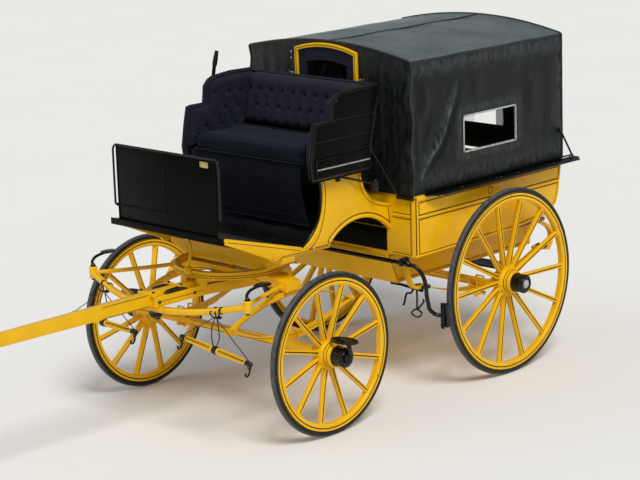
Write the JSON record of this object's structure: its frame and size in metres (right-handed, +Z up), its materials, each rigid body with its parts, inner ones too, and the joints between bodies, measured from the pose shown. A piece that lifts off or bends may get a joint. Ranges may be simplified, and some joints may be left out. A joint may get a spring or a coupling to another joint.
{
  "type": "horse-drawn wagonette with canvas hood",
  "caption": "Four-wheeled horse-drawn passenger carriage with a box seat, rear-entrance body, fixed canvas hood, turntable steering and a pole for a pair of horses.",
  "frame": {"origin": "ground level under the middle of the bounding box", "axes": "+Z up, +Y towards the tail, the pole points to -Y, +X to the carriage's left"},
  "size_m": [1.901, 5.56, 2.016],
  "materials": {
    "yellow_paint": "glossy yellow coach paint with black lining, chipped at the edges",
    "tyre_rubber": "worn grey-black solid rubber",
    "black_paint": "black coach paint on wood, satin to gloss",
    "black_iron": "black painted wrought iron",
    "blue_cloth": "dark navy wool cloth",
    "black_canvas": "black coated canvas",
    "rubber_mat": "ribbed dark mat",
    "inner_wood": "plain varnished wood"
  },
  "bodies": {
    "body": {"rear_axle": "yellow_paint", "rear_spring_left": "yellow_paint", "rear_spring_right": "yellow_paint", "rear_iron_left": "yellow_paint", "rear_iron_right": "yellow_paint", "upper_ring": "yellow_paint", "boot_side_left": "yellow_paint", "boot_side_right": "yellow_paint", "body_side_left": "yellow_paint", "body_side_right": "yellow_paint", "body_front": "yellow_paint", "body_rear": "yellow_paint", "foot_well": "yellow_paint", "hood_front_frame": "yellow_paint", "boot_lining": "black_paint", "dash": "black_paint", "seat_wing_left": "black_paint", "seat_wing_right": "black_paint", "seat_base": "black_paint", "seat_back": "black_paint", "wing_board_left": "black_paint", "wing_board_right": "black_paint", "seat_stay_left": "black_iron", "seat_stay_right": "black_iron", "lamp_holder_left": "black_iron", "lamp_holder_right": "black_iron", "hood_stay_left": "black_iron", "hood_stay_right": "black_iron", "brake_gear": "black_iron", "brake_lever": "black_iron", "rear_step": "black_iron", "seat_squab": "blue_cloth", "seat_cushion": "blue_cloth", "seat_fall": "blue_cloth", "bench_cushion_left": "blue_cloth", "bench_cushion_right": "blue_cloth", "hood": "black_canvas", "footboard": "rubber_mat", "body_floor": "inner_wood", "bench_left": "inner_wood", "bench_right": "inner_wood"},
    "rear_door": {"rear_door": "yellow_paint"},
    "forecarriage": {"lower_bed": "yellow_paint", "futchells": "yellow_paint", "pole": "yellow_paint", "splinter_bar": "yellow_paint", "front_spring_left": "yellow_paint", "front_spring_right": "yellow_paint", "front_axle": "yellow_paint"},
    "swingletree_left": {"swingletree_left": "yellow_paint"},
    "swingletree_right": {"swingletree_right": "yellow_paint"},
    "wheel_front_left": {"front_left_wheel": "yellow_paint", "front_left_tyre": "tyre_rubber"},
    "wheel_front_right": {"front_right_wheel": "yellow_paint", "front_right_tyre": "tyre_rubber"},
    "wheel_rear_left": {"rear_left_wheel": "yellow_paint", "rear_left_tyre": "tyre_rubber"},
    "wheel_rear_right": {"rear_right_wheel": "yellow_paint", "rear_right_tyre": "tyre_rubber"}
  },
  "joints": [
    {"name": "steering", "type": "hinge", "parent": "body", "child": "forecarriage", "pos_m": [0, 0.42, 0.8], "axis": [0, 0, 1], "range_deg": [-40, 40]},
    {"name": "door_hinge", "type": "hinge", "parent": "body", "child": "rear_door", "pos_m": [0.294, 2.58, 0.9], "axis": [0, 0, -1], "range_deg": [0, 110]},
    {"name": "swing_left", "type": "hinge", "parent": "forecarriage", "child": "swingletree_left", "pos_m": [0.455, -0.12042, 0.7], "axis": [0, 0, 1], "range_deg": [-15, 15]},
    {"name": "swing_right", "type": "hinge", "parent": "forecarriage", "child": "swingletree_right", "pos_m": [-0.455, -0.12042, 0.7], "axis": [0, 0, 1], "range_deg": [-15, 15]},
    {"name": "spin_front_left", "type": "hinge", "parent": "forecarriage", "child": "wheel_front_left", "pos_m": [0.753, 0.42, 0.457], "axis": [1, 0, 0], "continuous": true},
    {"name": "spin_front_right", "type": "hinge", "parent": "forecarriage", "child": "wheel_front_right", "pos_m": [-0.753, 0.42, 0.457], "axis": [1, 0, 0], "continuous": true},
    {"name": "spin_rear_left", "type": "hinge", "parent": "body", "child": "wheel_rear_left", "pos_m": [0.77, 1.939, 0.559], "axis": [1, 0, 0], "continuous": true},
    {"name": "spin_rear_right", "type": "hinge", "parent": "body", "child": "wheel_rear_right", "pos_m": [-0.77, 1.939, 0.559], "axis": [1, 0, 0], "continuous": true}
  ]
}
